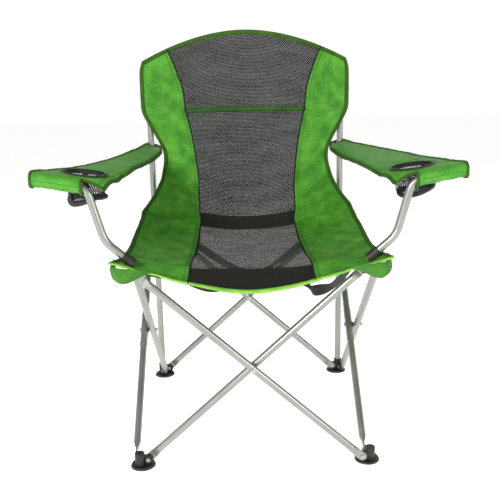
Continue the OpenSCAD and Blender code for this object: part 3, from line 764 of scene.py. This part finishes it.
def seamRows(name, a, b, n, side, body):
    ups = spread(a, b, n)
    runs = []
    for inset in (6.5, 9.5):
        spots = [slingAt(v, side * (meshEdge(v) + inset), 0.9) for v in ups]
        runs.append(framePath(spots, lambda i: slingOut(ups[i], side * (meshEdge(ups[i]) + inset))))
    spots = [slingAt(v, side * (outerEdge(v) - 6.3), 2.3) for v in ups]
    runs.append(framePath(spots, lambda i: slingOut(ups[i], side * (outerEdge(ups[i]) - 6.3))))
    obj = stitches(name + "Stitching", runs, greenThread, body)
    return gather(obj)


backAndSeat(sideTape)
backAndSeat(meshPiping)
backAndSeat(seamRows)


def topTape():
    xs = spread(-outerEdge(0) - 1, outerEdge(0) + 1, 90)
    path = []
    for x in xs:
        here = slingAt(0, x)
        below = slingAt(0.25, x)
        path.append((here, (here - below).normalized(), slingOut(0, x)))
    obj = sweep("topBinding", path, [(a * 1.05, b * 1.1) for a, b in foldedTape[::-1]], oliveTape,
                "rear_left_leg")
    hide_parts("top_binding")
    return gather(obj)


def frontTape():
    xs = spread(-outerEdge(lastRow) - 1, outerEdge(lastRow) + 1, 90)
    path = []
    for x in xs:
        here = slingAt(lastRow, x)
        behind = slingAt(lastRow - 0.25, x)
        path.append((here, (here - behind).normalized(), slingOut(lastRow, x)))
    obj = sweep("frontBinding", path, [(a * 0.9, b) for a, b in foldedTape], brightTape, "seat")
    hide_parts("front_binding")
    return gather(obj)


topTape()
frontTape()


def band(name, a, b, rowsN, lift, body, material, node=None):
    rows = [[slingAt(v, s * (meshEdge(v) + 4), lift) for s in spread(-1, 1, 44)]
            for v in spread(a, b, rowsN)]
    obj = clothGrid(name, rows, material, body, fabricThick)
    if node:
        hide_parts(node)
    cut = cutOf(plainRows(spread(a, b, rowsN), lambda v: [s * (meshEdge(v) + 4)
                                                          for s in spread(-1, 1, 44)]))
    return gather(obj)


band("lumbarBand", bandTop, creaseRow - 0.03, 8, -2.0, "rear_left_leg", darkBand, "lumbar_band")
band("headSeamStrip", 4.0, 4.24, 3, 0.6, "rear_left_leg", darkBand)
band("frontSupportStrip", hemRow + 0.03, lastRow, 10, -2.0, "seat", darkBand)


def headStitches():
    runs = []
    for side in (-1, 1):
        for v in (4.0, 4.22):
            xs = spread(meshEdge(v) + 3, outerEdge(v) - 8, 30)
            spots = [slingAt(v, side * x, 0.9) for x in xs]
            runs.append(framePath(spots, lambda i: slingOut(v, side * xs[i])))
        for x in (219, 226):
            ups = spread(0.15, 4.0, 50)
            spots = [slingAt(v, side * x, 0.9) for v in ups]
            runs.append(framePath(spots, lambda i: slingOut(ups[i], side * x)))
    obj = stitches("pocketStitching", runs, greenThread, "rear_left_leg")
    return gather(obj)


headStitches()


def hemStitches():
    runs = []
    for side in (-1, 1):
        for v in (hemRow + 0.12, hemRow + 0.74):
            xs = spread(meshEdge(v) + 3, outerEdge(v) - 8, 40)
            spots = [slingAt(v, side * x, 0.9) for x in xs]
            runs.append(framePath(spots, lambda i: slingOut(v, side * xs[i])))
    obj = stitches("hemStitching", runs, greenThread, "seat")
    return gather(obj)


hemStitches()
print("tapes, piping and stitching")

# ---- pockets behind the top corners ----

backPocket = {"from": 219.0, "behind": tubeRadius + 3.0, "bottomRow": 4.12, "closing": 0.35}


def rearPocketRows(side, creased):
    rows = []
    for v in spread(0.02, backPocket["bottomRow"], 60):
        row = []
        outer = outerEdge(v) - 1
        for share in spread(0, 1, 22):
            x = backPocket["from"] + (outer - backPocket["from"]) * share
            front = slingAt(v, side * x, -1.4) if creased else plainSling(v, side * x)
            shut = min(1.0, v / backPocket["closing"])
            shut = shut * shut * (3 - 2 * shut)
            arch = max(0.0, 1 - (abs(x - half) / (half - backPocket["from"])) ** 2.6) if x < half else \
                max(0.0, 1 - ((x - half) / (outer - half)) ** 3.2)
            back = half + backPocket["behind"]
            if creased:
                back += noise.noise(Vector((x / 20, v * 1.7, 5.0 + side))) * 1.6
            front.y += (back - front.y) * arch * shut
            row.append(front)
        rows.append(row if side > 0 else row[::-1])
    return rows


def rearPocket(side, word):
    # the layer behind each upright, sewn to the front along both its edges
    obj = clothGrid(word + "RearPocket", rearPocketRows(side, True), greenCloth, "rear_left_leg",
                    fabricThick)
    cutOf(rearPocketRows(side, False))
    return gather(obj)


for side, word in ((-1, "left"), (1, "right")):
    rearPocket(side, word)
print("rear pockets")

# ---- arms ----

# along an arm: y, inner x and z, outer x and z
armShape = [
    (268, 226, 641, 262, 653), (250, 224, 636, 264, 652), (225, 222, 629, 270, 651),
    (150, 224, 626, 298, 648), (56, 230, 625, 336, 645), (-62, 248, 624, 375, 643),
    (-149, 271, 612, 401, 643), (-190, 279, 607, 413, 644), (-222, 286, 604, 424, 645),
    (-243, 291, 603, 430, 645),
]
armCrown = 0.5
sleeveFrom = 326                    # the sleeve over the post's end starts this far out
# from the front of the top, round the post's end: y and height under the top
sleeveWrap = [(-250, -0.6), (-256, -3), (-261, -8), (-263, -15), (-262, -22), (-257, -27), (-249, -29.5),
              (-240, -29), (-233, -26)]
cup = {"x": 336.2, "y": -186, "z": 632, "tilt": 8, "radius": 42, "depth": 50}
armSag = {-1: 13, 1: 1}
slotRadius = 13.5


def armColumn(t, which):
    return tableColumn(armShape, t, which)


def armTop(side, t, share, lift=0.0, worn=True):
    y, inX, inZ, outX, outZ = (armColumn(t, n) for n in range(5))
    x = inX + (outX - inX) * share
    if not worn:
        return Vector((side * x, y, inZ + (outZ - inZ) * share ** armCrown))
    middle = math.sin(math.pi * min(1.0, max(0.0, (240 - y) / 470)))
    z = inZ + (outZ - inZ) * share ** armCrown - armSag[side] * middle * share
    ripple = noise.noise(Vector((x / 60, y / 46, 2.0 + side))) * 2.0
    ripple += noise.noise(Vector(((x + y) / 34, (x - y) / 16, 6.0 + side))) * 0.9
    nearCup = math.hypot(x - cup["x"], y - cup["y"])
    calm = min(1.0, max(0.0, (nearCup - 46) / 30)) * min(1.0, max(0.0, (y + 250) / 30))
    z += ripple * calm
    ring = max(0.0, 1 - max(0.0, nearCup - 44) / 22)
    z += (cup["z"] + (x - cup["x"]) * math.tan(math.radians(cup["tilt"])) - z) * ring * 0.8
    return Vector((side * x, y, z + lift))


armSplit = 5.75      # behind the cup the cloth gathers as the chair folds; in front it stays with the post


def armPart(side, word, rear):
    # rear: the half that gathers. The other half holds the cup and the sleeve, and moves as one
    body = "front_" + word + "_corner"
    lastT = len(armShape) - 1
    start, end = (0, armSplit) if rear else (armSplit, lastT)
    label = word + ("RearArm" if rear else "FrontArm")
    shares = spread(0, 1, 40)
    ts = spread(start, end, 62 if rear else 34)

    def fold(obj):
        if rear:
            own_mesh(obj)
        return obj

    rows = [[armTop(side, t, share) for share in shares] for t in ts]
    smooth = [[armTop(side, t, share, worn=False) for share in shares] for t in ts]
    topRows = len(ts) - 1
    if not rear:
        front, smoothFront = rows[-1], smooth[-1]
        for y, drop in sleeveWrap:
            smooth.append([Vector((p.x, y, p.z + drop)) for p in smoothFront])
            row = []
            for p in front:
                wob = noise.noise(Vector((p.x / 14, y / 9, 4.0))) * 1.2
                row.append(Vector((p.x, y + 0.75 * wob, p.z + drop + wob * (0.4 if drop > -5 else 1.0))))
            rows.append(row)

    def keep(i, j):
        return i < topRows + 1 or abs(rows[i][j].x) > sleeveFrom

    def keepTurned(i, j):
        return keep(i, len(shares) - 2 - j)

    hole = ((side * half, half), slotRadius, 3.0) if rear else ((side * cup["x"], cup["y"]),
                                                                cup["radius"] + 1, 4.5)
    obj = clothGrid(label, rows if side > 0 else [row[::-1] for row in rows], armCloth, body, 1.6,
                    keep=keep if side > 0 else keepTurned, tidyHoles=[hole])
    if rear:
        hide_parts(word + "_arm_fabric")

    def tape(name, spots, inward, narrow=0.85):
        path = []
        for i, p in enumerate(spots):
            out = (p - inward[i]).normalized()
            along = (spots[min(i + 1, len(spots) - 1)] - spots[max(i - 1, 0)]).normalized()
            up = out.cross(along).normalized()
            path.append((p, out, -up if up.z < 0 else up))
        section = [(a * narrow, b * 1.15 - 0.6) for a, b in foldedTape]
        piece = sweep(label + name, path, section, oliveTape, body)
        fold(piece)

    runT = spread(start, end, 60)
    innerSpots = [armTop(side, t, 0.0) for t in runT]
    innerInward = [armTop(side, t, 0.06) for t in runT]
    if not rear:
        hem = [p for p in rows[topRows + 1] if abs(p.x) < sleeveFrom + 3][1:]
        innerSpots += hem
        innerInward += [p + Vector((0, 8, 0.6)) for p in hem]
    tape("InnerBinding", innerSpots, innerInward)
    tape("OuterBinding", [armTop(side, t, 1.0) for t in runT], [armTop(side, t, 0.94) for t in runT])

    runs = []
    for share in (0.07, 0.94):
        runs.append(framePath([armTop(side, t, share, 0.8) for t in runT], lambda i: Vector((0, 0, 1))))
    if rear:
        ends = spread(0, 1, 12)
        tape("EndBinding", [armTop(side, 0, share) for share in ends],
             [armTop(side, 0.12, share) for share in ends])
        slotSpots = []
        for n in range(28):
            turn = 2 * math.pi * n / 28
            x = half + slotRadius * math.cos(turn)
            y = half + slotRadius * math.sin(turn)
            t = 1.0 + (half - y) / (armShape[1][0] - armShape[2][0]) if y < half else \
                (armShape[0][0] - y) / (armShape[0][0] - half)
            share = (x - armColumn(t, 1)) / (armColumn(t, 3) - armColumn(t, 1))
            slotSpots.append(armTop(side, t, max(0.02, share)))
        ring = sweep(word + "SlotTape", framePath(slotSpots, lambda i: Vector((0, 0, 1)), closed=True),
                     [(-2.6, -1.9), (-2.6, 1.2), (0.6, 1.5), (1.6, -0.2), (0.6, -2.2)], blackTape,
                     body, closed=True)
        fold(ring)
    else:
        wrapRows = rows[topRows:]
        tape("SleeveEndBinding", [row[-1] for row in wrapRows], [row[-2] for row in wrapRows], 0.5)
        mouth = [row[min(j for j, p in enumerate(row) if abs(p.x) > sleeveFrom)] for row in wrapRows]
        tape("SleeveMouthBinding", mouth, [p + Vector((side * 4, 0, 0)) for p in mouth], 0.5)
        ringSpots = []
        for n in range(61):
            turn = 2 * math.pi * n / 60
            x = cup["x"] + (cup["radius"] + 7) * math.cos(turn)
            y = cup["y"] + (cup["radius"] + 7) * math.sin(turn)
            z = cup["z"] + (x - cup["x"]) * math.tan(math.radians(cup["tilt"])) + 0.9
            ringSpots.append(Vector((side * x, y, z)))
        runs.append(framePath(ringSpots, lambda i: Vector((0, 0, 1))))
        seam = [Vector((p.x, p.y - 1.0, p.z + 0.3)) for p in rows[topRows + 4] if abs(p.x) > sleeveFrom + 4]
        runs.append(framePath(seam, lambda i: Vector((0, -1, 0))))
    stitched = stitches(label + "Stitching", runs, greenThread, body)
    fold(stitched)

    holeArea = math.pi * hole[1] ** 2
    cutOf(smooth, keep, holeArea)
    return fold(obj)


for side, word in ((-1, "left"), (1, "right")):
    armPart(side, word, True)
    armPart(side, word, False)
print("arms")

# ---- cup holders ----

cupLook = {
    # how each one hangs: its foot leans sideways and forward, and is pinched into folds
    -1: {"lean": -10, "forward": -3, "tip": -13, "pinch": 9, "phase": 0.4, "drop": 3},
    1: {"lean": 1, "forward": -2, "tip": 6, "pinch": 4, "phase": 2.1, "drop": 1},
}
bandDeep = 7


def cupNet():
    # coarse knitted net: black yarn with wide open holes, 5 mm apart
    material, tree, surface = newMaterial("knittedNetBlack", {"Base Color": hexColour("#161715"),
                                                              "Roughness": 0.6,
                                                             "IOR": 1.5})
    pitch = 5.0 * mm
    uv = addNode(tree, "ShaderNodeTexCoord")
    split = addNode(tree, "ShaderNodeSeparateXYZ", links={0: uv.outputs["UV"]})
    across = addNode(tree, "ShaderNodeMath", {"operation": "MULTIPLY", 1: 2 * math.pi / pitch},
                     {0: split.outputs["X"]})
    down = addNode(tree, "ShaderNodeMath", {"operation": "MULTIPLY", 1: 2 * math.pi / pitch * 0.6},
                   {0: split.outputs["Y"]})
    waveA = addNode(tree, "ShaderNodeMath", {"operation": "COSINE"}, {0: across.outputs[0]})
    waveB = addNode(tree, "ShaderNodeMath", {"operation": "COSINE"}, {0: down.outputs[0]})
    holes = addNode(tree, "ShaderNodeMath", {"operation": "MULTIPLY"}, {0: waveA.outputs[0],
                                                                        1: waveB.outputs[0]})
    shut = addNode(tree, "ShaderNodeMath", {"operation": "LESS_THAN", 1: 0.12}, {0: holes.outputs[0]})
    tree.links.new(shut.outputs[0], surface.inputs["Alpha"])
    bump = addNode(tree, "ShaderNodeBump", {"Strength": 0.5, "Distance": 0.001, "invert": True},
                   {"Height": holes.outputs[0]})
    tree.links.new(bump.outputs["Normal"], surface.inputs["Normal"])
    return material


netCloth = cupNet()


def cupPoint(side, turn, radius, height):
    # height is 0 at the rim and minus towards the foot
    look = cupLook[side]
    down = min(1.0, max(0.0, -height / cup["depth"]))
    slump = down ** 1.5
    r = radius * (1 + slump * 0.05 * math.sin(3 * turn + look["phase"]))
    x = r * math.cos(turn) * (1 - 0.06 * slump)
    y = r * math.sin(turn)
    z = height - slump * look["drop"] + slump * x * math.tan(math.radians(look["tip"]))
    z += slump * look["pinch"] * 0.5 * math.sin(2 * turn + look["phase"])
    z += noise.noise(Vector((math.cos(turn) * 2.2, math.sin(turn) * 2.2,
                             height / 14 + side))) * 3.2 * math.sin(math.pi * down)
    x += slump * look["lean"] + noise.noise(Vector((turn * 1.3, height / 11,
                                                    2.0))) * 2.6 * math.sin(math.pi * min(1, down))
    y += slump * look["forward"]
    tilt = math.radians(cup["tilt"])
    spun = Vector((x * math.cos(tilt) - z * math.sin(tilt), y, x * math.sin(tilt) + z * math.cos(tilt)))
    return Vector((side * (cup["x"] + spun.x), cup["y"] + spun.y, cup["z"] + spun.z))


def cupRing(side, profile, count=72):
    # rows of a turned shape: profile is a list of (radius, height)
    return [[cupPoint(side, side * 2 * math.pi * n / count, r, h) for n in range(count + 1)] for r,
            h in profile]


def cupHolder(side, word):
    body = "front_" + word + "_corner"
    radius, deep = cup["radius"], cup["depth"]
    rim = clothGrid(word + "CupRim", cupRing(side, [
        (radius + 3.2, -1.4), (radius + 3.4, 0.4), (radius + 2.2, 1.8), (radius - 0.2, 2.0),
        (radius - 1.2, 0.8),
        (radius - 1.6, -2.5), (radius - 1.4, -4.5), (radius - 1.2, -bandDeep)]), blackTape, body,
        1.0, offset=0)
    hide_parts(word + "_cup_rim")
    wall = clothGrid(word + "CupNet", cupRing(side, [
        (radius - 1.3 - 2.2 * math.sin(math.pi * n / 12) - 1.0 * n / 12,
         -bandDeep - (deep - bandDeep) * n / 12)
        for n in range(13)]), netCloth, body, 0.0)
    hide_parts(word + "_cup_mesh")
    sole = clothGrid(word + "CupSole", cupRing(side, [
        ((radius - 3) * k, -deep - 1.6 + 1.5 * k) for k in (1.0, 0.85, 0.6, 0.3, 0.02)]), netCloth,
        body, 0.0)
    foot = clothGrid(word + "CupFootTape", cupRing(side, [
        (radius - 2.0, -deep + 6), (radius - 0.8, -deep + 3), (radius - 0.6, -deep), (radius - 2.2,
                                                                                      -deep - 2.4),
        (radius - 7, -deep - 3.0), (radius - 10, -deep - 2.2)]), blackTape, body, 1.2, offset=1)
    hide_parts(word + "_cup_ring")
    for n in range(3):
        middle = 2 * math.pi * (n + 0.35) / 3
        rows = []
        for k in range(15):
            height = -bandDeep + 3 - (deep - bandDeep - 2) * k / 14
            bulge = 1.3 + 2.2 * math.sin(math.pi * k / 14)
            rows.append([cupPoint(side, side * (middle + 0.16 * e), radius - bulge + 1.0,
                                  height) for e in (-1, -0.5, 0, 0.5, 1)])
        strip = clothGrid(word + "CupStrap" + str(n + 1), rows, blackWebbing, body, 1.0, offset=0)


for side, word in ((-1, "left"), (1, "right")):
    cupHolder(side, word)
print("cup holders")

# ---- corner pockets ----

# round a front corner from the middle outwards: x and y from the post, hem and top heights
pouch = [
    (58, -16, 440, 446), (44, -24, 436, 449), (24, -31, 428, 452), (2, -35, 421, 455), (-16, -34, 419, 457),
    (-30, -24, 424, 459), (-35, -6, 434, 460), (-35, 14, 446, 461), (-34, 30, 455, 462),
]


def pouchColumn(t, which):
    return tableColumn(pouch, t, which)


def pocketRows(side, creased):
    ts = spread(0, len(pouch) - 1, 44)
    rows = []
    for level in spread(0, 1, 14):
        row = []
        for t in ts:
            x, y, low, high = (pouchColumn(t, n) for n in range(4))
            inward = Vector((-x + 8, -y + 4, 0)).normalized()
            curl = 9 * max(0.0, 1 - level / 0.3) ** 2 + 2.5 * level * level
            curl = curl + noise.noise(Vector((t * 0.9, level * 2.4, 3.0 + side))) * 2.4 if creased else 0.0
            p = Vector((x, y, low + (high - 3.5 - low) * level)) + inward * curl
            row.append(Vector((side * (half - p.x), -half + p.y, p.z)))
        rows.append(row if side < 0 else row[::-1])
    return rows


def cornerPocket(side, word):
    body = "front_" + word + "_corner"
    obj = clothGrid(word + "CornerPocket", pocketRows(side, True), pocketCloth, body, fabricThick)
    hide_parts(word + "_corner_pocket")
    cutOf(pocketRows(side, False))
    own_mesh(obj)
    return obj


for side, word in ((-1, "left"), (1, "right")):
    cornerPocket(side, word)
print("corner pockets")

# ---- webbing straps under the seat ----

strapWide = 25
strapRuns = {
    # each from a front corner to the far rear bracket, slack near the front
    "left": [(-226, -224, 428), (-196, -222, 421), (-159, -216, 412), (-122, -186, 384), (-87, -150, 364),
             (-44, -76, 352), (0, 0, 350), (60, 64, 361), (116, 125, 388), (172, 182, 412),
             (228, 236, 424)],
    "right": [(228, -224, 428), (205, -222, 424), (190, -208, 402), (176, -192, 382),
              (150, -178, 368), (129, -168, 364),
              (118, -146, 374), (104, -128, 381), (60, -66, 366), (0, 0, 358), (-60, 64, 368),
              (-116, 125, 391),
              (-172, 182, 413), (-228, 236, 425)],
}
twist = {"left": lambda t: 0.25 * math.sin(6 * t),
         "right": lambda t: 1.25 * math.exp(-((t - 0.33) / 0.08) ** 2) + 0.2 * math.sin(5 * t)}


def smoothLine(points, n):
    spots = []
    last = len(points) - 1
    for k in range(n + 1):
        t = last * k / n
        i = min(int(t), last - 1)
        f = t - i
        p = [Vector(points[max(0, min(last, q))]) for q in (i - 1, i, i + 1, i + 2)]
        spots.append(through(p, f))
    return spots


def strap(word):
    spots = smoothLine(strapRuns[word], 90)
    rows = []
    for i, p in enumerate(spots):
        along = (spots[min(i + 1, 90)] - spots[max(i - 1, 0)]).normalized()
        across = along.cross(Vector((0, 0, 1))).normalized()
        across = Matrix.Rotation(twist[word](i / 90), 3, along) @ across
        rows.append([p + across * strapWide * e / 2 for e in (-1, -0.6, -0.2, 0.2, 0.6, 1)])
    obj = clothGrid(word + "SeatStrap", rows, blackWebbing, "seat", 1.3)
    if word == "left":
        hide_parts("crossed_straps")
    return gather(obj)


strap("left")
strap("right")
print("straps")
